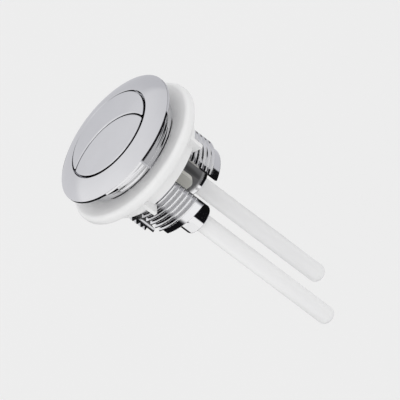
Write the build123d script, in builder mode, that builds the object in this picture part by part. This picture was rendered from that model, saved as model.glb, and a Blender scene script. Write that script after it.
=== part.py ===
from build123d import *
import os

# Dual flush push button for a cistern lid, in millimetres.
# The origin is on the button axis, in the plane where the rim rests on the lid, with +Z up.
# The lens shaped button lies towards -Y and the crescent shaped one towards +Y.

# Rim and skirt
rim_d = 58.0
rim_round = 0.6
rim_land = 0.4
rim_rise = 3.35
dome_bulge = 0.5
opening_d = 40.2
opening_lip = 0.35
skirt_d = 47.0
skirt_depth = 7.2
skirt_cove = 1.6
skirt_groove_up = 0.8
skirt_groove_w = 0.6
skirt_groove_depth = 0.35
edge_chamfer = 0.3

# Threaded barrel
barrel_depth = 36.7
thread_depth = 1.15
thread_pitch = 2.27
thread_crest = 0.55
thread_base = 1.8
thread_lead_in = 1.0
end_band = 3.5
barrel_wall = 1.6
bore_step = 0.6
slot_w = 10.8
slot_top_depth = 14.5

# Button tops
button_travel = 6.0
button_gap = 0.3
divider_r = 20.5
divider_offset = 15.8
divider_gap = 0.5
cap_crown = 0.7
cap_depth = 3.2
cap_skin = 1.5
cap_wall = 1.2
cap_corner = 0.6
cap_edge = 0.4
stop_gap = 0.2

# Stems, sockets and push rods
stem_spacing = 23.0
stem_d = 7.0
stem_engagement = 7.0
socket_d = 13.0
socket_length = 24.2
socket_mouth = 0.5
socket_clear = 0.5
socket_play = 0.05
rod_d = 7.4
rod_neck_d = 6.6
rod_neck_length = 12.0
rod_neck_play = 0.05
rod_bore_spare = 1.0
rod_shoulder_gap = 0.2
rod_tip_round = 2.6
full_rod_length = 72.1
half_rod_length = 68.6

# Guide plate that snaps into the barrel
plate_depth = 17.0
plate_t = 2.5
plate_play = 0.1
bush_wall = 1.0
bush_height = 4.0
guide_play = 0.08
tongue_w = 12.8
tongue_t = 2.4
tongue_length = 16.7
tongue_corner = 2.5
snap_bite = 0.7
snap_height = 1.4
snap_width = 12.0

# Return springs
spring_wire = 0.9
spring_play = 0.3
spring_turns = 8.0

# Back nut
nut_seat_gap = 0.1
nut_play = 0.25
nut_flange_d = 63.4
nut_flange_t = 4.6
nut_flange_round_top = 2.1
nut_flange_round_low = 1.6
nut_height = 11.8
nut_hub_wall = 2.3
nut_hub_chamfer = 0.4
wing_count = 5
wing_reach = 3.3
wing_drop = 2.0
wing_t = 1.6
wing_draft = 0.6
wing_start_angle = -20.4

# Worked out from the sizes above
rim_r = rim_d / 2
opening_r = opening_d / 2
skirt_r = skirt_d / 2
stem_y = stem_spacing / 2
socket_r = socket_d / 2
bore_r = stem_y + socket_r + socket_clear
upper_bore_r = bore_r - bore_step
root_r = bore_r + barrel_wall
crest_r = root_r + thread_depth
edge_z = rim_round + rim_land
ring_z = edge_z + rim_rise
cap_bottom_z = ring_z - cap_depth
ceiling_z = ring_z - cap_skin
recess_floor_z = cap_bottom_z - button_travel - stop_gap
barrel_end_z = -barrel_depth
plate_top_z = -plate_depth
plate_bottom_z = plate_top_z - plate_t
thread_low_z = barrel_end_z + end_band
thread_high_z = -skirt_depth - thread_lead_in
cap_r = opening_r - button_gap
stem_r = stem_d / 2
bush_r = stem_r + guide_play + bush_wall
spring_r = bush_r + spring_play + spring_wire / 2
boss_r = spring_r + spring_wire
socket_top_z = plate_bottom_z - stop_gap
socket_bottom_z = socket_top_z - socket_length
stem_foot_z = socket_top_z - stem_engagement
rod_r = rod_d / 2
rod_neck_r = rod_neck_d / 2
rod_shoulder_z = socket_bottom_z - rod_shoulder_gap
nut_bore_r = crest_r + nut_play
nut_hub_r = nut_bore_r + nut_hub_wall
nut_top_z = -skirt_depth - nut_seat_gap
flange_low_z = nut_top_z - nut_flange_t
nut_low_z = nut_top_z - nut_height
nut_flange_r = nut_flange_d / 2

os.makedirs("parts", exist_ok=True)

# Snap ridges that hold the guide plate up, on the two legs beside the buttons
with BuildPart() as snap_ridges:
    with BuildSketch(Plane.XZ):
        with BuildLine():
            Polyline(
                (bore_r + barrel_wall / 2, plate_bottom_z),
                (bore_r - snap_bite, plate_bottom_z),
                (bore_r, plate_bottom_z - snap_height),
                (bore_r + barrel_wall / 2, plate_bottom_z - snap_height),
                close=True,
            )
        make_face()
    revolve(axis=Axis.Z)
    with Locations((0, 0, plate_bottom_z)):
        Box(2 * crest_r, snap_width, 4 * snap_height, mode=Mode.INTERSECT)

# Bezel body: domed rim, skirt and slotted barrel in one moulding
with BuildPart() as bezel_body:
    with BuildSketch(Plane.XZ):
        with BuildLine():
            Polyline(
                (upper_bore_r, recess_floor_z),
                (upper_bore_r, plate_top_z),
                (bore_r, plate_top_z),
                (bore_r, barrel_end_z),
                (root_r - edge_chamfer, barrel_end_z),
                (root_r, barrel_end_z + edge_chamfer),
                (root_r, -skirt_depth),
                (skirt_r - edge_chamfer, -skirt_depth),
                (skirt_r, edge_chamfer - skirt_depth),
                (skirt_r, -skirt_cove),
            )
            RadiusArc((skirt_r, -skirt_cove), (skirt_r + skirt_cove, 0), -skirt_cove)
            Line((skirt_r + skirt_cove, 0), (rim_r - rim_round, 0))
            RadiusArc((rim_r - rim_round, 0), (rim_r, rim_round), -rim_round)
            Line((rim_r, rim_round), (rim_r, edge_z))
            SagittaArc((rim_r, edge_z), (opening_r + opening_lip, ring_z), -dome_bulge)
            RadiusArc((opening_r + opening_lip, ring_z), (opening_r, ring_z - opening_lip), -opening_lip)
            Polyline(
                (opening_r, ring_z - opening_lip),
                (opening_r, recess_floor_z),
                (upper_bore_r, recess_floor_z),
            )
        make_face()
    revolve(axis=Axis.Z)
    # Shallow groove round the foot of the skirt
    with BuildSketch(Plane.XZ):
        with Locations((skirt_r, skirt_groove_up - skirt_depth)):
            Rectangle(2 * skirt_groove_depth, skirt_groove_w, align=(Align.CENTER, Align.MIN))
    revolve(axis=Axis.Z, mode=Mode.SUBTRACT)
    # Thread ridges from the end band up to the skirt
    ridge_count = int((thread_high_z - thread_low_z) / thread_pitch)
    with BuildSketch(Plane.XZ):
        for ridge in range(ridge_count):
            with Locations((root_r, thread_low_z + (ridge + 0.5) * thread_pitch)):
                Polygon(
                    (-barrel_wall / 2, -thread_base / 2),
                    (0, -thread_base / 2),
                    (thread_depth, -thread_crest / 2),
                    (thread_depth, thread_crest / 2),
                    (0, thread_base / 2),
                    (-barrel_wall / 2, thread_base / 2),
                    align=None,
                )
    revolve(axis=Axis.Z)
    add(snap_ridges.part)
    # Two crossed cuts make the four slots between the legs
    with BuildSketch(Plane.XY.offset(barrel_end_z)):
        for slot_angle in (45, 135):
            Rectangle(3 * crest_r, slot_w, rotation=slot_angle)
    extrude(amount=barrel_depth - slot_top_depth, mode=Mode.SUBTRACT)

# Guide plate with a bush for each stem and a tongue between the sockets
with BuildPart() as guide_plate:
    with BuildSketch(Plane.XY.offset(plate_bottom_z)):
        Circle(bore_r - plate_play)
    extrude(amount=plate_t)
    with BuildSketch(Plane.XY.offset(plate_top_z)):
        with Locations((0, -stem_y), (0, stem_y)):
            Circle(bush_r)
    extrude(amount=bush_height)
    with BuildSketch(Plane.XY.offset(plate_bottom_z)):
        with Locations((0, -stem_y), (0, stem_y)):
            Circle(stem_r + guide_play)
    extrude(amount=plate_t + bush_height, mode=Mode.SUBTRACT)
    with BuildSketch(Plane.XZ):
        with Locations((0, plate_bottom_z)):
            tongue = Rectangle(tongue_w, tongue_length, align=(Align.CENTER, Align.MAX))
        fillet(tongue.vertices().group_by(Axis.Z)[0], tongue_corner)
    extrude(amount=tongue_t / 2, both=True)


def button(name, y, side):
    """One button top and its stem: side is INTERSECT for the lens and SUBTRACT for the crescent."""
    inward = -1 if side == Mode.INTERSECT else 1
    edge_r = divider_r + inward * divider_gap / 2
    crown_r = (cap_r**2 + cap_crown**2) / (2 * cap_crown)
    with BuildPart() as cap:
        with BuildSketch(Plane.XY.offset(cap_bottom_z)) as outline:
            Circle(cap_r)
            with Locations((0, -divider_offset)):
                Circle(edge_r, mode=side)
            fillet(outline.vertices(), cap_corner)
        extrude(amount=cap_depth + 2 * cap_crown)
        # The crown is part of one large ball over both buttons
        with Locations((0, 0, ring_z + cap_crown - crown_r)):
            Sphere(crown_r, mode=Mode.INTERSECT)
        fillet(cap.faces().sort_by(Axis.Z)[-1].edges(), cap_edge)
        # Hollow underside, leaving a boss that the spring pushes on
        with BuildSketch(Plane.XY.offset(cap_bottom_z)):
            Circle(cap_r - cap_wall)
            with Locations((0, -divider_offset)):
                Circle(edge_r + inward * cap_wall, mode=side)
            with Locations((0, y)):
                Circle(boss_r, mode=Mode.SUBTRACT)
        extrude(amount=cap_depth - cap_skin, mode=Mode.SUBTRACT)
        with BuildSketch(Plane.XY.offset(stem_foot_z)):
            with Locations((0, y)):
                Circle(stem_r)
        extrude(amount=ceiling_z - stem_foot_z)
    cap.part.label = name
    export_step(cap.part, f"parts/{name}.step")


def socket(name, y):
    """Chrome socket: a stem screws into its top and a push rod into its foot."""
    with BuildPart() as body:
        with BuildSketch(Plane.XY.offset(socket_bottom_z)):
            with Locations((0, y)):
                Circle(socket_r)
        extrude(amount=socket_length)
        chamfer(body.edges().filter_by(GeomType.CIRCLE), socket_mouth)
        with BuildSketch(Plane.XY.offset(stem_foot_z)):
            with Locations((0, y)):
                Circle(stem_r + socket_play)
        extrude(amount=stem_engagement, mode=Mode.SUBTRACT)
        with BuildSketch(Plane.XY.offset(socket_bottom_z)):
            with Locations((0, y)):
                Circle(rod_neck_r + rod_neck_play)
        extrude(amount=rod_neck_length + rod_bore_spare, mode=Mode.SUBTRACT)
    body.part.label = name
    export_step(body.part, f"parts/{name}.step")


def push_rod(name, y, length):
    """White push rod with a rounded tip and a thinner neck that screws into its socket."""
    with BuildPart() as rod:
        with BuildSketch(Plane.XY.offset(rod_shoulder_z - length)):
            with Locations((0, y)):
                Circle(rod_r)
        extrude(amount=length)
        fillet(rod.edges().sort_by(Axis.Z)[0], rod_tip_round)
        chamfer(rod.edges().sort_by(Axis.Z)[-1], edge_chamfer)
        with BuildSketch(Plane.XY.offset(rod_shoulder_z)):
            with Locations((0, y)):
                Circle(rod_neck_r)
        extrude(amount=rod_neck_length)
        chamfer(rod.edges().sort_by(Axis.Z)[-1], edge_chamfer)
    rod.part.label = name
    export_step(rod.part, f"parts/{name}.step")


def spring(name, y):
    """Return spring between the guide plate and the boss under a button top."""
    free_height = cap_bottom_z - plate_top_z - spring_wire
    with BuildPart() as coil:
        with BuildLine() as path:
            Helix(
                pitch=free_height / spring_turns,
                height=free_height,
                radius=spring_r,
                center=(0, y, plate_top_z + spring_wire / 2),
            )
        with BuildSketch(Plane(origin=path.line @ 0, z_dir=path.line % 0)):
            Circle(spring_wire / 2)
        sweep(path=path.line, is_frenet=True)
    coil.part.label = name
    export_step(coil.part, f"parts/{name}.step")


# One wing of the nut, a rib from the flange down past the hub
with BuildPart() as wing:
    with BuildSketch(Plane.XZ):
        Polygon(
            (nut_hub_r - nut_hub_wall / 2, flange_low_z + nut_flange_t / 2),
            (nut_hub_r + wing_reach + wing_draft, flange_low_z + nut_flange_t / 2),
            (nut_hub_r + wing_reach, nut_low_z - wing_drop),
            (nut_bore_r + nut_hub_chamfer, nut_low_z - wing_drop),
            (nut_bore_r + nut_hub_chamfer, nut_low_z),
            (nut_hub_r - nut_hub_wall / 2, nut_low_z + nut_hub_wall),
            align=None,
        )
    extrude(amount=wing_t / 2, both=True)

# Back nut: round flange, hub and wings
with BuildPart() as back_nut:
    with BuildSketch(Plane.XZ):
        with BuildLine():
            Polyline(
                (nut_flange_r - nut_flange_round_top, nut_top_z),
                (nut_bore_r + nut_hub_chamfer, nut_top_z),
                (nut_bore_r, nut_top_z - nut_hub_chamfer),
                (nut_bore_r, nut_low_z + nut_hub_chamfer),
                (nut_bore_r + nut_hub_chamfer, nut_low_z),
                (nut_hub_r - nut_hub_chamfer, nut_low_z),
                (nut_hub_r, nut_low_z + nut_hub_chamfer),
                (nut_hub_r, flange_low_z),
                (nut_flange_r - nut_flange_round_low, flange_low_z),
            )
            RadiusArc(
                (nut_flange_r - nut_flange_round_low, flange_low_z),
                (nut_flange_r, flange_low_z + nut_flange_round_low),
                -nut_flange_round_low,
            )
            Line(
                (nut_flange_r, flange_low_z + nut_flange_round_low),
                (nut_flange_r, nut_top_z - nut_flange_round_top),
            )
            RadiusArc(
                (nut_flange_r, nut_top_z - nut_flange_round_top),
                (nut_flange_r - nut_flange_round_top, nut_top_z),
                -nut_flange_round_top,
            )
        make_face()
    revolve(axis=Axis.Z)
    with PolarLocations(0, wing_count, start_angle=wing_start_angle):
        add(wing.part)

bezel_body.part.label = "bezel_body"
export_step(bezel_body.part, "parts/bezel_body.step")
guide_plate.part.label = "guide_plate"
export_step(guide_plate.part, "parts/guide_plate.step")
back_nut.part.label = "back_nut"
export_step(back_nut.part, "parts/back_nut.step")
for flush, y, side, rod_length in (
    ("full_flush", -stem_y, Mode.INTERSECT, full_rod_length),
    ("half_flush", stem_y, Mode.SUBTRACT, half_rod_length),
):
    button(f"{flush}_button", y, side)
    socket(f"{flush}_socket", y)
    push_rod(f"{flush}_rod", y, rod_length)
    spring(f"{flush}_spring", y)
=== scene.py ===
import math

import bmesh
import bpy
from mathutils import Matrix, Vector


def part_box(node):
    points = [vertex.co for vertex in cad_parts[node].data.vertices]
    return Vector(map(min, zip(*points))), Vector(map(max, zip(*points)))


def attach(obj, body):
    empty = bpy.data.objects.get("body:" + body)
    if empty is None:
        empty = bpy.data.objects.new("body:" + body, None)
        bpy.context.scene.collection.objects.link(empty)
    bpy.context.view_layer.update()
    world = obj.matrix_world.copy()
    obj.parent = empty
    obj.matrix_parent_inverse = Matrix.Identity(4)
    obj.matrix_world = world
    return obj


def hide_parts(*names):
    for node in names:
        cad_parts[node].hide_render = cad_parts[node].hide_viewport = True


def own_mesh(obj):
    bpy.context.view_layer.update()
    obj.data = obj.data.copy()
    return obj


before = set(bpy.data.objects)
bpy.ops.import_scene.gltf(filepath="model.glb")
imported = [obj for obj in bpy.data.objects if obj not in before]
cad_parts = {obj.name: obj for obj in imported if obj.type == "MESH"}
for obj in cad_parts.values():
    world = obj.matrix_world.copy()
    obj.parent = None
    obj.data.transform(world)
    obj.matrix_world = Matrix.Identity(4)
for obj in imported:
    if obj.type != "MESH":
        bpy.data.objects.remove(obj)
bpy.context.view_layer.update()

MM = 0.001


def grey(level):
    """A neutral colour."""
    return (level, level, level)


# Sizes that the CAD parts in model.glb give
bezel_low, bezel_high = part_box("bezel_body")
nut_low, nut_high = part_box("back_nut")
rim_r = bezel_high.x
ring_z = bezel_high.z
barrel_end_z = bezel_low.z
nut_flange_r = nut_high.x
nut_top_z = nut_high.z
wing_low_z = nut_low.z

# Rim, opening and skirt
rim_edge_z = 1.15 * MM
rim_round = 0.15 * MM
rim_relief_w = 0.6 * MM
rim_relief_z = 0.15 * MM
rim_relief_round = 0.04 * MM
rim_brow = 0.18 * MM
dome_bulge = 0.5 * MM
opening_r = 20.1 * MM
opening_lip = 0.16 * MM
opening_round = 0.152 * MM
recess_floor_z = -5.05 * MM
skirt_r = 23.5 * MM
skirt_z = -7.2 * MM
skirt_cove = 0.9 * MM
waist_r = 22.55 * MM
waist_low_r = 23.2 * MM
waist_low_z = -4.6 * MM
waist_round = 10.0 * MM
bead_r = 23.46 * MM
bead_low_z = -6.6 * MM
bead_high_z = -6.3 * MM
flare_high_z = -5.4 * MM
flare_low_depth = 0.28 * MM
flare_high_depth = 0.15 * MM
foot_round = 0.06 * MM
small_round = 0.25 * MM

# Threaded barrel
root_r = 20.1 * MM
crest_r = 21.25 * MM
bore_r = 18.5 * MM
upper_bore_r = 17.9 * MM
plain_step = 0.05 * MM
plain_foot = 3.5 * MM
thread_pitch = 2.27 * MM
thread_crest = 0.5 * MM
thread_base = 2.1 * MM
thread_crest_round = 0.12 * MM
thread_root_round = 0.15 * MM
thread_high_z = -8.2 * MM
thread_low_z = barrel_end_z + plain_foot
slot_w = 10.8 * MM
slot_top_z = -14.5 * MM
slot_angles = (math.radians(45), math.radians(135))
plate_top_z = -17.0 * MM
plate_low_z = -19.5 * MM
snap_bite = 0.7 * MM
snap_height = 1.4 * MM
snap_width = 12.0 * MM

# Button tops
cap_r = 19.3 * MM
cap_lift = 0.44 * MM
cap_crown = 0.26 * MM
crown_r = (cap_r**2 + cap_crown**2) / (2 * cap_crown)
cap_depth = 3.2 * MM
cap_skin = 1.5 * MM
cap_low_z = ring_z - cap_depth
cap_ceiling_z = ring_z - cap_skin
cap_wall = 1.2 * MM
cap_corner = 0.6 * MM
cap_inner_corner = 0.1 * MM
cap_edge = 0.32 * MM
divider_r = 20.5 * MM
divider_y = -15.8 * MM
divider_gap = 0.62 * MM
stem_r = 3.5 * MM

# Sockets and rods
socket_round = 0.5 * MM
stem_bore_r = 3.55 * MM
stem_bore_depth = 7.0 * MM
neck_bore_r = 3.35 * MM
neck_bore_depth = 13.0 * MM
rod_tip_round = 2.6 * MM
rod_neck_r = 3.3 * MM
rod_neck_length = 12.0 * MM

# Return springs
spring_wire = 0.9 * MM
spring_turns = 8
button_travel = 6.0 * MM

# Back nut
nut_bore_r = 21.5 * MM
nut_hub_r = 23.8 * MM
nut_low_z = -19.1 * MM
flange_low_z = -11.9 * MM
flange_round_top = 2.1 * MM
flange_round_low = 1.6 * MM
hub_cove = 0.7 * MM
hub_round = 0.45 * MM
wing_count = 5
wing_first_angle = math.radians(-20.4)
wing_t = 1.6 * MM
wing_reach = 3.3 * MM
wing_draft = 0.6 * MM
wing_edge = 0.3 * MM

# How finely shapes are divided, and how far a cutting block outgrows what it cuts
turn_steps = 160
small_turn_steps = 72
arc_steps = 5
dome_steps = 14
cap_steps = 90
cap_corner_steps = 4
cap_top_cuts = 15
wire_steps = 12
coil_steps = 40
wing_edge_steps = 3
floor_steps = 64
card_steps = 24
merge_distance = 0.002 * MM
sharp_angle = math.radians(32)
overcut = 2

# Finishes: tints, what each pattern adds to the roughness or the bump, and the width of fades
bezel_tint = (0.79, 0.79, 0.806)
button_tint = (0.788, 0.789, 0.807)
socket_tint = (0.80, 0.80, 0.81)
chrome_shade = 0.98
chrome_haze = 0.04
socket_haze = 0.03
cloud_haze = 0.02
hairline_haze = 0.02
hairline_relief = 0.02
# Painted shade: dark greys, extra roughness and a fade height for the chrome's parts that lie in the
# barrel's shade
painted_shade_dark = (0.06, 0.06, 0.062)
painted_shade_light = (0.15, 0.15, 0.154)
painted_shade_haze = 0.4
painted_shade_fade = 2.0 * MM
bore_fade = 0.1 * MM
plate_fade = 1.0 * MM
turned_line_fade = 0.3 * MM
flow_haze = 0.06
flow_relief = 2.0
grain_haze = 0.1
wire_dark = (0.33, 0.33, 0.34)
wire_light = (0.62, 0.62, 0.63)
wire_haze = 0.24
wire_line_haze = 0.16

# Camera, as the photograph was taken
camera_azimuth = math.radians(28.5)
camera_elevation = math.radians(27.6)
camera_roll = math.radians(53.0)
camera_distance = 4.0
sensor_width = 36.0
picture_width = 154.6 * MM
aim_z = -44.6 * MM
aim_right = 0.84 * MM
to_camera = Vector((math.sin(camera_azimuth), -math.cos(camera_azimuth), 0))
to_right = Vector((math.cos(camera_azimuth), math.sin(camera_azimuth), 0))

# Floor and plain light of the studio
floor_z = -0.32
floor_r = 30.0
paper_dark = grey(0.822)
paper_light = grey(0.832)
backdrop = grey(0.847)
room_behind = grey(0.72)
room_in_front = grey(0.96)
room_overhead = grey(1.1)
overhead_low = 0.1
overhead_high = 0.9

# Sky that chrome mirrors: it brightens upwards, most of all in one rise, and darkens to the right
sky_dim = (0.60, 0.602, 0.63)
sky_bright = (0.90, 0.90, 0.91)
sky_level = 0.14
sky_rise = 0.42
sky_rise_low = 0.40
sky_rise_high = 0.53
sky_overhead = 0.2
sky_loss_right = 0.6

# Panels in that sky, where a later one covers an earlier one
deep_black = (0.006, 0.006, 0.007)
panels = {
    # First and last bearing in degrees, counted from the camera to the right, the softness of these ends
    # in radians, lowest and highest edge as sines of the elevation, their softness, and the colour
    "far_right_black": (88, 150, 0.05, -0.31, 0.3, 0.02, grey(0.03)),
    "front_black": (-58, -5, 0.03, -0.1, 0.3, 0.03, grey(0.05)),
    "front_low_grey": (-58, -5, 0.03, -0.33, -0.1, 0.03, grey(0.55)),
    "front_low_white": (-58, -5, 0.03, -0.78, -0.33, 0.03, grey(1.05)),
    "front_high_white": (-58, -5, 0.03, 0.33, 0.7, 0.04, grey(1.5)),
    "right_black": (-2, 88, 0.03, -0.64, 0.2, 0.03, deep_black),
    "left_black": (-140, -58, 0.12, -0.95, 0.2, 0.03, deep_black),
    "far_left_black": (-178, -134, 0.05, -0.95, -0.3, 0.05, deep_black),
}

# Slit of light in the right black panel, with a top edge that falls to the right
slit_low = -0.43
slit_high = -0.1
slit_soft = 0.015
slit_fall = 0.2
slit_fall_first = math.radians(15)
slit_fall_last = math.radians(80)
slit_grey = (0.5, 0.5, 0.51)

# Cards close round the part, which only show in reflections
card_r = 46.0 * MM
card_fade_high_z = -7.8 * MM
card_fade_low_z = -9.4 * MM
card_fade_slant = 0.065
card_unevenness = 0.05
cards = {
    # First and last bearing in degrees, counted from the camera to the right, lowest and highest edge,
    # brightness, and the share of the brightness that is left below the fade
    "left_card": (-106, -35, -110 * MM, -54 * MM, 1.0, 1.0),
    "skirt_card": (-58, -5, -11 * MM, -7.6 * MM, 1.45, 0.2),
    "leg_card": (58, 168, -48 * MM, -27 * MM, 0.74, 1.0),
    "socket_card": (66, 179, -110 * MM, -59 * MM, 0.006, 1.0),
}


# Mesh tools

def rounded(corners, closed=True):
    """Points of an outline given as (r, z, round) corners, each corner rounded to its own radius."""
    points = []
    for index, (r, z, radius) in enumerate(corners):
        corner = Vector((r, z))
        if radius == 0 or (not closed and index in (0, len(corners) - 1)):
            points.append(corner)
            continue
        before = (Vector(corners[index - 1][:2]) - corner).normalized()
        after = (Vector(corners[(index + 1) % len(corners)][:2]) - corner).normalized()
        half = before.angle(after) / 2
        centre = corner + (before + after).normalized() * radius / math.sin(half)
        start = corner + before * radius / math.tan(half) - centre
        end = corner + after * radius / math.tan(half) - centre
        sweep = -start.angle_signed(end)
        for step in range(arc_steps + 1):
            points.append(centre + Matrix.Rotation(sweep * step / arc_steps, 2) @ start)
    return points


def add_outline(bm, points, centre=(0, 0), closed=True):
    """Adds the points to bm as a wire in the plane of the turning axis."""
    verts = [bm.verts.new((centre[0] + r, centre[1], z)) for r, z in points]
    ends = verts[1:] + verts[:1] if closed else verts[1:]
    edges = [bm.edges.new(pair) for pair in zip(verts, ends)]
    return verts + edges


def verts_in(geom):
    """The vertices among what an operator gives back."""
    return [item for item in geom if isinstance(item, bmesh.types.BMVert)]


def tidy(bm):
    """Merges doubles, drops edges that no face uses and turns the faces outwards."""
    bmesh.ops.remove_doubles(bm, verts=bm.verts, dist=merge_distance)
    bmesh.ops.delete(bm, geom=[e for e in bm.edges if e.is_wire], context="EDGES")
    bmesh.ops.recalc_face_normals(bm, faces=bm.faces)
    return bm


def spun(bm, geom, centre, steps):
    """Turns a wire once round the upright axis through centre."""
    bmesh.ops.spin(
        bm, geom=geom, cent=(centre[0], centre[1], 0), axis=(0, 0, 1),
        angle=2 * math.pi, steps=steps, use_merge=True,
    )


def turned(points, centre=(0, 0), steps=turn_steps):
    """A closed outline turned once round the upright axis through centre."""
    bm = bmesh.new()
    spun(bm, add_outline(bm, points, centre), centre, steps)
    return tidy(bm)


def block(size, centre, turn=0.0):
    """A box of that size, turned about the upright axis."""
    bm = bmesh.new()
    place = Matrix.Rotation(turn, 4, "Z") @ Matrix.Translation(centre) @ Matrix.Diagonal((*size, 1))
    bmesh.ops.create_cube(bm, size=1, matrix=place)
    return bm


def add_shape(bm, other):
    """Adds another shape's mesh to bm."""
    mesh = bpy.data.meshes.new("added")
    other.to_mesh(mesh)
    other.free()
    bm.from_mesh(mesh)
    bpy.data.meshes.remove(mesh)


def new_object(bm, name):
    """Puts bm into the scene as an object at the origin."""
    mesh = bpy.data.meshes.new(name)
    bm.to_mesh(mesh)
    bm.free()
    made = bpy.data.objects.new(name, mesh)
    bpy.context.scene.collection.objects.link(made)
    return made


def combined(bm, operation, *others):
    """Joins other shapes to bm (UNION), cuts bm with them (DIFFERENCE) or trims it to them (INTERSECT)."""
    base = new_object(bm, "base")
    tools = [new_object(other, "tool") for other in others]
    for tool in tools:
        change = base.modifiers.new("change", "BOOLEAN")
        change.object = tool
        change.operation = operation
        change.solver = "MANIFOLD"
    depsgraph = bpy.context.evaluated_depsgraph_get()
    shape = bpy.data.meshes.new_from_object(base.evaluated_get(depsgraph))
    result = bmesh.new()
    result.from_mesh(shape)
    bpy.data.meshes.remove(shape)
    for holder in [base, *tools]:
        mesh = holder.data
        bpy.data.objects.remove(holder)
        bpy.data.meshes.remove(mesh)
    bmesh.ops.remove_doubles(result, verts=result.verts, dist=merge_distance)
    return result


def upright(node):
    """Lowest and highest level, centre and radius of a round CAD node that stands upright."""
    low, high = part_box(node)
    centre = Vector(((low.x + high.x) / 2, (low.y + high.y) / 2, 0))
    return low.z, high.z, centre, (high.x - low.x) / 2


def make_piece(bm, node, body, material):
    """Makes bm the visible piece that stands for a CAD node."""
    piece = new_object(bm, node + "_look")
    piece.data.shade_smooth()
    piece.data.set_sharp_from_angle(angle=sharp_angle)
    piece.data.materials.append(material)
    shading = piece.modifiers.new("even_shading", "WEIGHTED_NORMAL")
    shading.keep_sharp = True
    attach(piece, body)
    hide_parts(node)
    return piece


# Shader tools

class Value:
    """A shader socket that takes part in Python arithmetic."""

    def __init__(self, shader, socket):
        self.shader = shader
        self.socket = socket

    def math(self, operation, first, second):
        return self.shader.node("ShaderNodeMath", {"operation": operation}, {0: first, 1: second})

    def __add__(self, other):
        return self.math("ADD", self, other)

    def __radd__(self, other):
        return self.math("ADD", other, self)

    def __sub__(self, other):
        return self.math("SUBTRACT", self, other)

    def __rsub__(self, other):
        return self.math("SUBTRACT", other, self)

    def __mul__(self, other):
        return self.math("MULTIPLY", self, other)

    def __rmul__(self, other):
        return self.math("MULTIPLY", other, self)


class Shader:
    """A node tree that is filled by calls to node()."""

    def __init__(self, tree):
        self.tree = tree
        tree.nodes.clear()

    def node(self, kind, settings=None, values=None, output=0):
        """Adds a node, sets it up, gives its sockets values or links, and returns one output."""
        node = self.tree.nodes.new(kind)
        for key, setting in (settings or {}).items():
            setattr(node, key, setting)
        for key, value in (values or {}).items():
            if isinstance(value, Value):
                self.tree.links.new(value.socket, node.inputs[key])
            else:
                node.inputs[key].default_value = value
        return Value(self, node.outputs[output]) if node.outputs else None

    def step(self, value, low, high):
        """Goes smoothly from 0 at low to 1 at high."""
        return self.node(
            "ShaderNodeMapRange", {"interpolation_type": "SMOOTHSTEP"},
            {"Value": value, "From Min": low, "From Max": high},
        )

    def band(self, value, low, high, soft):
        """1 between low and high and 0 outside, with soft borders."""
        return self.step(value, low - soft, low + soft) * (1 - self.step(value, high - soft, high + soft))

    def noise(self, place, scale, detail):
        """Cloudy noise from 0 to 1 with spots of about 1 / scale metres."""
        return self.node("ShaderNodeTexNoise", None, {"Vector": place, "Scale": scale, "Detail": detail})

    def mix(self, share, first, second):
        """Goes from the first colour to the second as the share goes from 0 to 1, and no further."""
        first, second = (end if isinstance(end, Value) else (*end, 1) for end in (first, second))
        # A Mix node's colour sockets are inputs 6 and 7 and output 2
        values = {"Factor": share, 6: first, 7: second}
        return self.node("ShaderNodeMix", {"data_type": "RGBA"}, values, output=2)

    def bump(self, height, strength, depth, normal=None):
        """Bump from a pattern of heights, on top of another bump where one is given."""
        values = {"Strength": strength, "Distance": depth, "Height": height}
        if normal:
            values["Normal"] = normal
        return self.node("ShaderNodeBump", None, values)

    def stretched(self, place, stretch):
        """The same place with its axes scaled, which draws a pattern out into lines."""
        return self.node("ShaderNodeMapping", None, {"Vector": place, "Scale": stretch})

    def height(self, place):
        """How high a place lies."""
        return self.node("ShaderNodeSeparateXYZ", None, {"Vector": place}, output="Z")

    def reach(self, place):
        """How far a place lies from the upright axis."""
        flat = self.stretched(place, stretch=(1, 1, 0))
        return self.node("ShaderNodeVectorMath", {"operation": "LENGTH"}, {0: flat}, output="Value")

    def along(self, place, axis):
        """How far a place lies along an axis."""
        values = {0: place, 1: axis}
        return self.node("ShaderNodeVectorMath", {"operation": "DOT_PRODUCT"}, values, output="Value")


def new_finish(name):
    """A new material, its shader and the place on the object that its pattern reads."""
    material = bpy.data.materials.new(name)
    material.use_nodes = True
    shader = Shader(material.node_tree)
    place = shader.node("ShaderNodeTexCoord", output="Object")
    return material, shader, place


def end_finish(shader, kind, values):
    """Ends a material with a surface shader of that kind and these values on its sockets."""
    surface = shader.node(kind, None, values)
    shader.node("ShaderNodeOutputMaterial", None, {"Surface": surface})


# Finishes

def barrel_inside_shade_mask(shader, place):
    """Painted shade mask: 1 on the barrel's inner wall up to the guide plate's top, 0 elsewhere."""
    near = 1 - shader.step(shader.reach(place), bore_r, bore_r + bore_fade)
    return near * (1 - shader.step(shader.height(place), plate_top_z, plate_top_z + plate_fade))


def skirt_lines(shader, place):
    """Fine turned lines round the skirt between rim and foot, 0 elsewhere."""
    height = shader.height(place)
    lines = shader.noise(shader.stretched(place, stretch=(0.02, 0.02, 1)), scale=1900.0, detail=1.0)
    outside = shader.step(shader.reach(place), crest_r, waist_r)
    above_foot = shader.step(height, flare_high_z, flare_high_z + turned_line_fade)
    return lines * outside * above_foot * (1 - shader.step(height, -skirt_cove, 0))


def painted_shade_above(low_z):
    """Gives a painted shade mask that fades in above low_z, for a socket's part that sits in the barrel's
    shade.
    """
    def thin(shader, place):
        return shader.step(shader.height(place), low_z, low_z + painted_shade_fade)
    return thin


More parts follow.
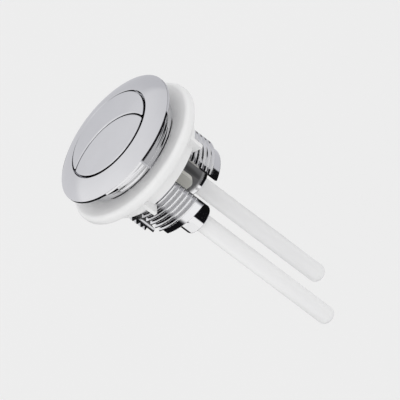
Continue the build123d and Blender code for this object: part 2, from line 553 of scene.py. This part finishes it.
def chrome_finish(name, tint, haze, painted_shade_part=None, turned_lines=None):
    """Chrome plate on moulded plastic: a clear mirror with faint flow waves and polishing haze.

    Where the painted shade mask is 1, the mirror gives way to a dull dark grey, which is painted shade for
    the dark inside of the barrel.
    """
    material, shader, place = new_finish(name)
    cloud = shader.noise(place, scale=140.0, detail=3.0)
    hairline = shader.noise(shader.stretched(place, stretch=(900.0, 900.0, 160.0)), scale=3.0, detail=3.0)
    waves = shader.noise(place, scale=90.0, detail=1.0)
    shade = tuple(chrome_shade * channel for channel in tint)
    colour = shader.mix(shader.step(cloud, low=0.3, high=0.7), shade, tint)
    metallic = 1.0
    roughness = haze + cloud_haze * cloud + hairline_haze * hairline
    # Painted shade: dark grey, not metallic and rougher where the mask is 1
    if painted_shade_part:
        painted_shade_share = painted_shade_part(shader, place)
        flow = shader.noise(shader.stretched(place, stretch=(6.0, 6.0, 1.0)), scale=60.0, detail=3.0)
        painted_shade_colour = shader.mix(shader.step(flow, low=0.35, high=0.65), painted_shade_dark, painted_shade_light)
        colour = shader.mix(painted_shade_share, colour, painted_shade_colour)
        metallic = 1 - painted_shade_share
        roughness = roughness + painted_shade_haze * painted_shade_share
    normal = shader.bump(waves + hairline_relief * hairline, strength=0.015, depth=0.3 * MM)
    if turned_lines:
        normal = shader.bump(turned_lines(shader, place), strength=0.6, depth=0.07 * MM, normal=normal)
    end_finish(shader, "ShaderNodeBsdfPrincipled", {
        "Base Color": colour,
        "Metallic": metallic,
        "Roughness": roughness,
        "Normal": normal,
    })
    return material


def plastic_finish(name, light, shade, flow_stretch, haze):
    """Moulded plastic: faint flow clouds in the colour and a fine satin grain."""
    material, shader, place = new_finish(name)
    flow = shader.noise(shader.stretched(place, flow_stretch), scale=60.0, detail=3.0)
    grain = shader.noise(place, scale=2600.0, detail=2.0)
    end_finish(shader, "ShaderNodeBsdfPrincipled", {
        "Base Color": shader.mix(shader.step(flow, low=0.3, high=0.75), shade, light),
        "Roughness": haze + grain_haze * grain + flow_haze * flow,
        "Normal": shader.bump(grain + flow_relief * flow, strength=0.08, depth=0.1 * MM),
    })
    return material


def wire_finish(name):
    """Drawn spring wire: grey steel with fine lines."""
    material, shader, place = new_finish(name)
    lines = shader.noise(shader.stretched(place, stretch=(1.0, 1.0, 9.0)), scale=1500.0, detail=3.0)
    end_finish(shader, "ShaderNodeBsdfPrincipled", {
        "Base Color": shader.mix(lines, wire_dark, wire_light),
        "Metallic": 1.0,
        "Roughness": wire_haze + wire_line_haze * lines,
        "Normal": shader.bump(lines, strength=0.15, depth=0.05 * MM),
    })
    return material


# The barrel's inner wall and the sockets' parts inside the barrel carry painted shade
bezel_chrome = chrome_finish(
    "bezel_chrome", bezel_tint, chrome_haze, painted_shade_part=barrel_inside_shade_mask, turned_lines=skirt_lines,
)
button_chrome = chrome_finish("button_chrome", button_tint, chrome_haze)
full_socket_chrome = chrome_finish(
    "full_socket_chrome", socket_tint, socket_haze, painted_shade_part=painted_shade_above(barrel_end_z),
)
half_socket_chrome = chrome_finish(
    "half_socket_chrome", socket_tint, socket_haze, painted_shade_part=painted_shade_above(barrel_end_z - button_travel),
)
nut_plastic = plastic_finish(
    "nut_plastic", light=grey(0.90), shade=grey(0.87), flow_stretch=(1, 1, 1), haze=0.36,
)
rod_plastic = plastic_finish(
    "rod_plastic", light=grey(0.89), shade=(0.86, 0.86, 0.865), flow_stretch=(3, 3, 0.3), haze=0.38,
)
guide_plastic = plastic_finish(
    "guide_plastic", light=(0.93, 0.92, 0.86), shade=(0.89, 0.88, 0.82), flow_stretch=(2, 2, 0.5), haze=0.4,
)
spring_steel = wire_finish("spring_steel")


# Bezel body

def thread_skin():
    """The outside of the barrel's helical thread, cut off level at both ends."""
    bm = bmesh.new()
    rise = (thread_base - thread_crest) / 2
    root_gap = (thread_pitch - thread_base) / 2
    points = rounded([
        (root_r, 0, 0),
        (root_r, root_gap, thread_root_round),
        (crest_r, root_gap + rise, thread_crest_round),
        (crest_r, root_gap + rise + thread_crest, thread_crest_round),
        (root_r, thread_pitch - root_gap, thread_root_round),
        (root_r, thread_pitch, 0),
    ], closed=False)
    # One turn more at each end, for the level cuts
    turns = math.ceil((thread_high_z - thread_low_z) / thread_pitch) + 2
    start_z = thread_low_z - thread_pitch
    geom = add_outline(bm, [(r, start_z + z) for r, z in points], closed=False)
    bmesh.ops.spin(
        bm, geom=geom, cent=(0, 0, 0), axis=(0, 0, 1), angle=2 * math.pi,
        dvec=(0, 0, thread_pitch / turn_steps), steps=turn_steps,
    )
    one_turn = bm.verts[:] + bm.edges[:] + bm.faces[:]
    for turn in range(1, turns):
        copy = bmesh.ops.duplicate(bm, geom=one_turn)
        bmesh.ops.translate(bm, verts=verts_in(copy["geom"]), vec=(0, 0, turn * thread_pitch))
    bmesh.ops.remove_doubles(bm, verts=bm.verts, dist=merge_distance)
    for cut_z, outward in ((thread_low_z, -1), (thread_high_z, 1)):
        bmesh.ops.bisect_plane(
            bm, geom=bm.verts[:] + bm.edges[:] + bm.faces[:], dist=merge_distance,
            plane_co=(0, 0, cut_z), plane_no=(0, 0, outward), clear_outer=True,
        )
    return bm


def rim_dome():
    """Points along the rim's bulging top, from its outer edge in to the opening, both ends left out."""
    start = Vector((rim_r, rim_edge_z))
    chord = Vector((opening_r + opening_lip, ring_z)) - start
    out = Vector((chord.y, -chord.x)).normalized()
    points = []
    for step in range(1, dome_steps):
        share = step / dome_steps
        points.append(start + chord * share + out * 4 * dome_bulge * share * (1 - share))
    return points


def plain_skin():
    """The bezel body's skin apart from the thread: skirt, rim, opening, recess and bore."""
    plain_r = root_r - plain_step
    dome = rim_dome()
    outside = rounded([
        (plain_r, thread_high_z, 0),
        (plain_r, skirt_z, small_round),
        (skirt_r, skirt_z, foot_round),
        (skirt_r - flare_low_depth, bead_low_z, foot_round / 2),
        (bead_r, bead_low_z, foot_round),
        (bead_r, bead_high_z, foot_round),
        (bead_r - flare_high_depth, flare_high_z, small_round),
        (waist_low_r, waist_low_z, waist_round),
        (waist_r, 0, skirt_cove),
        (rim_r - rim_relief_w, 0, rim_round),
        (rim_r, rim_relief_z, rim_relief_round),
        (rim_r, rim_edge_z, rim_brow),
        (*dome[0], 0),
    ], closed=False)
    inside = rounded([
        (*dome[-1], 0),
        (opening_r + opening_lip, ring_z, 0),
        (opening_r, ring_z, opening_round),
        (opening_r, recess_floor_z, small_round),
        (upper_bore_r, recess_floor_z, small_round),
        (upper_bore_r, plate_top_z, 0),
        (bore_r, plate_top_z, 0),
        (bore_r, barrel_end_z, small_round),
        (plain_r, barrel_end_z, small_round),
        (plain_r, thread_low_z, 0),
    ], closed=False)
    bm = bmesh.new()
    spun(bm, add_outline(bm, outside + dome[1:-1] + inside, closed=False), (0, 0), turn_steps)
    return bm


def snap_ridges():
    """Two ridges in the bore that hold the guide plate up."""
    sunk_r = (bore_r + root_r) / 2
    ring = turned([
        (sunk_r, plate_low_z),
        (bore_r - snap_bite, plate_low_z),
        (bore_r, plate_low_z - snap_height),
        (sunk_r, plate_low_z - snap_height),
    ])
    across = (overcut * 2 * bore_r, snap_width, overcut * 2 * snap_height)
    return combined(ring, "INTERSECT", block(across, (0, 0, plate_low_z)))


def bezel_shape():
    """Domed rim, skirt, recess and slotted threaded barrel in one skin."""
    bm = thread_skin()
    add_shape(bm, plain_skin())
    bmesh.ops.remove_doubles(bm, verts=bm.verts, dist=merge_distance)
    for level in (thread_low_z, thread_high_z):
        ring = [e for e in bm.edges if e.is_boundary and abs(e.verts[0].co.z - level) < merge_distance]
        bmesh.ops.bridge_loops(bm, edges=ring)
    tidy(bm)
    slot_size = (overcut * 2 * crest_r, slot_w, 2 * (slot_top_z - barrel_end_z))
    slots = [block(slot_size, (0, 0, barrel_end_z), angle) for angle in slot_angles]
    return combined(combined(bm, "DIFFERENCE", *slots), "UNION", snap_ridges())


make_piece(bezel_shape(), "bezel_body", "housing", bezel_chrome)


# Button tops

def cap_chains(inset, lens):
    """The outline of a button top drawn in by inset, as two chains of points from corner to corner.

    The first chain follows the opening and the second the line between the buttons.
    """
    side = 1 if lens else -1
    rim = cap_r - inset
    divider = divider_r - side * (divider_gap / 2 + inset)
    # The corner's round touches both circles, and its centre stays put until the inset uses the round up
    reach = max(cap_corner, inset + cap_inner_corner)
    corner_r = reach - inset
    from_rim = cap_r - reach
    from_divider = divider_r - side * (divider_gap / 2 + reach)
    centre_y = (from_divider**2 - from_rim**2 - divider_y**2) / (-2 * divider_y)
    centre = Vector((math.sqrt(from_rim**2 - centre_y**2), centre_y))
    to_rim = centre.normalized()
    to_divider = side * (centre - Vector((0, divider_y))).normalized()
    tip = (to_rim + to_divider).normalized()
    rim_angle = math.atan2(to_rim.y, to_rim.x)
    divider_angle = math.atan2(side * to_divider.y, side * to_divider.x)
    # The lens follows the opening round its -Y side, and the crescent round its +Y side
    rim_turn = (-math.pi if lens else math.pi) - 2 * rim_angle
    divider_turn = math.pi - 2 * divider_angle
    chains = []
    for heading, radius, middle, first_angle, arc_turn in (
        (to_rim, rim, Vector((0, 0)), rim_angle, rim_turn),
        (to_divider, divider, Vector((0, divider_y)), divider_angle, divider_turn),
    ):
        sweep = -tip.angle_signed(heading)
        corner = []
        for step in range(cap_corner_steps):
            turn = Matrix.Rotation(sweep * (step + 0.5) / cap_corner_steps, 2)
            corner.append(centre + turn @ tip * corner_r)
        arc = []
        for step in range(cap_steps + 1):
            angle = first_angle + arc_turn * step / cap_steps
            arc.append(middle + radius * Vector((math.cos(angle), math.sin(angle))))
        mirrored = [Vector((-p.x, p.y)) for p in reversed(corner)]
        chains.append(corner + arc + mirrored)
    return chains


def crown(x, y):
    """Height of the button tops' shared dome over the level of its edge."""
    return cap_crown - crown_r + math.sqrt(crown_r**2 - x**2 - y**2)


def cap_levels():
    """Inset and height of each row of points round a cap, and 1 where the row follows the crown."""
    levels = [(cap_wall, cap_ceiling_z, 0), (cap_wall, cap_low_z, 0), (0, cap_low_z, 0)]
    for step in range(arc_steps + 1):
        angle = math.pi / 2 * step / arc_steps
        drop = cap_edge * (1 - math.sin(angle))
        levels.append((cap_edge * (1 - math.cos(angle)), ring_z + cap_lift - drop, 1))
    return levels


def add_cap_row(bm, lens, inset, z, domed):
    """Adds a row of points round a cap, and gives the edges of its two chains and of their joins."""
    chains = []
    for points in cap_chains(inset, lens):
        chains.append([bm.verts.new((p.x, p.y, z + domed * crown(p.x, p.y))) for p in points])
    first, second = [[bm.edges.new(pair) for pair in zip(chain, chain[1:])] for chain in chains]
    ends = [bm.edges.new((chains[0][end], chains[1][end])) for end in (0, -1)]
    return first, second, ends


def cap_shape(lens):
    """A button top with its crown, rounded edges and hollow underside."""
    bm = bmesh.new()
    rows = [add_cap_row(bm, lens, *level) for level in cap_levels()]
    for row, next_row in zip(rows, rows[1:]):
        bmesh.ops.bridge_loops(bm, edges=sum(row + next_row, []))
    # The crowned top is a divided strip between the last row's chains
    first, second, ends = rows[-1]
    strip = bmesh.ops.bridge_loops(bm, edges=first + second)
    strip_edges = {edge for face in strip["faces"] for edge in face.edges}
    across = strip_edges.difference(first, second, ends)
    bmesh.ops.subdivide_edges(
        bm, edges=[edge for edge in bm.edges if edge in across], cuts=cap_top_cuts, use_grid_fill=True,
    )
    # The hollow's flat ceiling is a plain strip between the first row's chains
    first, second, ends = rows[0]
    bmesh.ops.bridge_loops(bm, edges=first + second)
    return tidy(bm)


def stem_shape(flush):
    """A button's stem, with the boss at its root that the spring pushes up."""
    low_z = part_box(flush + "_button")[0].z
    _, _, centre, spring_r = upright(flush + "_spring")
    boss_r = spring_r + spring_wire / 2
    boss_top_z = cap_ceiling_z + cap_skin / 2
    return turned(rounded([
        (0, low_z, 0),
        (stem_r, low_z, small_round),
        (stem_r, cap_low_z, 0),
        (boss_r, cap_low_z, 0),
        (boss_r, boss_top_z, 0),
        (0, boss_top_z, 0),
    ]), centre, small_turn_steps)


def make_button(flush, lens):
    """One button top with its stem."""
    button = combined(cap_shape(lens), "UNION", stem_shape(flush))
    make_piece(button, flush + "_button", flush, button_chrome)


make_button("full_flush", lens=True)
make_button("half_flush", lens=False)


# Sockets, rods and springs

def socket_shape(node):
    """A chrome socket with the stem's bore in its top and the rod's bore in its foot."""
    low_z, high_z, centre, radius = upright(node)
    stem_bore_z = high_z - stem_bore_depth
    neck_bore_z = low_z + neck_bore_depth
    return turned(rounded([
        (neck_bore_r, low_z, small_round),
        (radius, low_z, socket_round),
        (radius, high_z, socket_round),
        (stem_bore_r, high_z, small_round),
        (stem_bore_r, stem_bore_z, 0),
        (0, stem_bore_z, 0),
        (0, neck_bore_z, 0),
        (neck_bore_r, neck_bore_z, 0),
    ]), centre, small_turn_steps)


def rod_shape(node):
    """A push rod with a rounded tip, a shoulder and a thinner neck."""
    low_z, high_z, centre, radius = upright(node)
    shoulder_z = high_z - rod_neck_length
    return turned(rounded([
        (0, low_z, 0),
        (radius, low_z, rod_tip_round),
        (radius, shoulder_z, small_round),
        (rod_neck_r, shoulder_z, 0),
        (rod_neck_r, high_z, small_round),
        (0, high_z, 0),
    ]), centre, small_turn_steps)


def spring_shape(node):
    """A coil of round wire."""
    low_z, high_z, centre, radius = upright(node)
    wire_r = spring_wire / 2
    climb = high_z - low_z - spring_wire
    steps = spring_turns * coil_steps
    bm = bmesh.new()
    start = Matrix.Translation(centre + Vector((radius - wire_r, 0, low_z + wire_r)))
    upended = Matrix.Rotation(math.pi / 2, 4, "X")
    bmesh.ops.create_circle(bm, segments=wire_steps, radius=wire_r, matrix=start @ upended)
    bmesh.ops.spin(
        bm, geom=bm.verts[:] + bm.edges[:], cent=centre, axis=(0, 0, 1),
        angle=2 * math.pi * spring_turns, dvec=(0, 0, climb / steps), steps=steps,
    )
    bmesh.ops.holes_fill(bm, edges=[e for e in bm.edges if e.is_boundary])
    return tidy(bm)


def make_plunger(flush, rod_body, socket_chrome):
    """What hangs under one button: its socket, its rod, and its spring."""
    socket = flush + "_socket"
    rod = flush + "_rod"
    spring = flush + "_spring"
    make_piece(socket_shape(socket), socket, flush, socket_chrome)
    make_piece(rod_shape(rod), rod, rod_body, rod_plastic)
    coil = make_piece(spring_shape(spring), spring, "housing", spring_steel)
    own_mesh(coil)


make_plunger("full_flush", "full_rod", full_socket_chrome)
make_plunger("half_flush", "half_rod", half_socket_chrome)


# Back nut and guide plate

def wing_shape(angle):
    """One wing of the nut: a rib from the flange down past the hub."""
    bm = bmesh.new()
    hub_middle = (nut_bore_r + nut_hub_r) / 2
    inner_r = nut_bore_r + small_round
    top_z = (nut_top_z + flange_low_z) / 2
    points = [
        (hub_middle, top_z),
        (nut_hub_r + wing_reach + wing_draft, top_z),
        (nut_hub_r + wing_reach, wing_low_z),
        (inner_r, wing_low_z),
        (inner_r, nut_low_z),
        (hub_middle, nut_low_z + (nut_hub_r - nut_bore_r)),
    ]
    face = bm.faces.new([bm.verts.new((r, -wing_t / 2, z)) for r, z in points])
    grown = bmesh.ops.extrude_face_region(bm, geom=[face])
    bmesh.ops.translate(bm, verts=verts_in(grown["geom"]), vec=(0, wing_t, 0))
    tidy(bm)
    bmesh.ops.bevel(
        bm, geom=bm.edges[:], offset=wing_edge, offset_type="OFFSET", segments=wing_edge_steps, profile=0.5,
        affect="EDGES", material=-1,
    )
    bmesh.ops.rotate(bm, verts=bm.verts, cent=(0, 0, 0), matrix=Matrix.Rotation(angle, 3, "Z"))
    return bm


def nut_shape():
    """White back nut: wide rounded flange, hub and wings."""
    body = turned(rounded([
        (nut_bore_r, nut_top_z, hub_round),
        (nut_flange_r, nut_top_z, flange_round_top),
        (nut_flange_r, flange_low_z, flange_round_low),
        (nut_hub_r, flange_low_z, hub_cove),
        (nut_hub_r, nut_low_z, hub_round),
        (nut_bore_r, nut_low_z, hub_round),
    ]))
    spacing = 2 * math.pi / wing_count
    wings = [wing_shape(wing_first_angle + index * spacing) for index in range(wing_count)]
    return combined(body, "UNION", *wings)


make_piece(nut_shape(), "back_nut", "nut", nut_plastic)

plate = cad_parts["guide_plate"]
plate.data.materials.clear()
plate.data.materials.append(guide_plastic)


# Studio: floor, cards, light and camera

def floor_finish():
    """Pale matt paper."""
    material, shader, place = new_finish("floor_paper")
    cloud = shader.noise(place, scale=6.0, detail=2.0)
    end_finish(shader, "ShaderNodeBsdfPrincipled", {
        "Base Color": shader.mix(cloud, paper_dark, paper_light),
        "Roughness": 0.9,
        "Specular IOR Level": 0.0,
    })
    return material


def make_floor():
    """A wide round floor below the part, so far down that no shadow of the part shows on it."""
    bm = bmesh.new()
    place = Matrix.Translation((0, 0, floor_z))
    bmesh.ops.create_circle(bm, cap_ends=True, segments=floor_steps, radius=floor_r, matrix=place)
    floor = new_object(bm, "floor")
    floor.data.materials.append(floor_finish())
    floor.visible_glossy = False


def card_finish(name, brightness, low_share):
    """Glowing card, a little uneven, that is at its full brightness above a slanting fade.

    The colour stops at white, so a brightness past 1 moves the fade down and lifts what is left below it.
    """
    material, shader, place = new_finish(name)
    cloud = shader.noise(place, scale=20.0, detail=2.0)
    slanted = shader.height(place) - card_fade_slant * shader.along(place, to_right)
    full = shader.step(slanted, card_fade_low_z, card_fade_high_z)
    level = brightness * (low_share + (1 - low_share) * full)
    colour = shader.mix(cloud * card_unevenness * level + level, grey(0), grey(1))
    end_finish(shader, "ShaderNodeEmission", {"Color": colour, "Strength": 1.0})
    return material


def make_card(name, first, last, low_z, high_z, brightness, low_share):
    """A curved card round the part, hidden from the camera, that shows only in reflections."""
    bm = bmesh.new()
    start = to_camera * card_r
    start.rotate(Matrix.Rotation(math.radians(first), 3, "Z"))
    ends = [bm.verts.new((start.x, start.y, z)) for z in (low_z, high_z)]
    bmesh.ops.spin(
        bm, geom=ends + [bm.edges.new(ends)], cent=(0, 0, 0), axis=(0, 0, 1),
        angle=math.radians(last - first), steps=card_steps,
    )
    card = new_object(bm, name)
    card.data.materials.append(card_finish(name, brightness, low_share))
    card.visible_camera = False
    card.visible_diffuse = False
    card.visible_shadow = False


def mirrored_sky(shader, bearing, height, side):
    """What chrome mirrors: a graded sky with panels, and a slit of light in the right black one."""
    overhead = shader.step(height, 0, 1)
    rise = shader.step(height, sky_rise_low, sky_rise_high)
    brightness = sky_level + sky_rise * rise + sky_overhead * overhead - sky_loss_right * side
    sky = shader.mix(brightness, sky_dim, sky_bright)
    for first, last, soft_ends, low, high, soft_edges, colour in panels.values():
        across = shader.band(bearing, math.radians(first), math.radians(last), soft_ends)
        sky = shader.mix(across * shader.band(height, low, high, soft_edges), sky, colour)
    first, last, soft_ends = panels["right_black"][:3]
    across = shader.band(bearing, math.radians(first), math.radians(last), soft_ends)
    fall = slit_fall * shader.step(bearing, slit_fall_first, slit_fall_last)
    above = shader.step(height, slit_low - slit_soft, slit_low + slit_soft)
    below = 1 - shader.step(height + fall, slit_high - slit_soft, slit_high + slit_soft)
    return shader.mix(across * (above * below), sky, slit_grey)


def make_light():
    """White studio light all round, a plain backdrop, and a sky of its own for reflections."""
    world = bpy.data.worlds.new("studio")
    bpy.context.scene.world = world
    world.use_nodes = True
    shader = Shader(world.node_tree)
    direction = shader.node("ShaderNodeTexCoord", output="Generated")
    facing = shader.along(direction, to_camera)
    side = shader.along(direction, to_right)
    height = shader.height(direction)
    bearing = shader.node("ShaderNodeMath", {"operation": "ARCTAN2"}, {0: side, 1: facing})
    sky = mirrored_sky(shader, bearing, height, side)
    walls = shader.mix(shader.step(facing, -1, 1), room_behind, room_in_front)
    room = shader.mix(shader.step(height, overhead_low, overhead_high), walls, room_overhead)
    light = shader.mix(shader.node("ShaderNodeLightPath", output="Is Glossy Ray"), room, sky)
    light = shader.mix(shader.node("ShaderNodeLightPath", output="Is Camera Ray"), light, backdrop)
    background = shader.node("ShaderNodeBackground", None, {"Color": light, "Strength": 1.0})
    shader.node("ShaderNodeOutputWorld", None, {"Surface": background})


def make_camera():
    """A long lens at the photograph's angle, rolled so that the part lies slantwise in the picture."""
    back = to_camera * math.cos(camera_elevation) + Vector((0, 0, math.sin(camera_elevation)))
    up = back.cross(to_right)
    right = to_right * math.cos(camera_roll) - up * math.sin(camera_roll)
    top = to_right * math.sin(camera_roll) + up * math.cos(camera_roll)
    data = bpy.data.cameras.new("camera")
    data.sensor_width = sensor_width
    data.lens = sensor_width * camera_distance / picture_width
    camera = bpy.data.objects.new("camera", data)
    turn = Matrix((right, top, back)).transposed().to_4x4()
    aim = Vector((0, 0, aim_z)) + to_right * aim_right
    camera.matrix_world = Matrix.Translation(aim + back * camera_distance) @ turn
    bpy.context.scene.collection.objects.link(camera)
    bpy.context.scene.camera = camera


def make_studio():
    """Everything round the part."""
    make_floor()
    for name, card in cards.items():
        make_card(name, *card)
    make_light()
    make_camera()
    bpy.context.scene.view_settings.view_transform = "Standard"


make_studio()
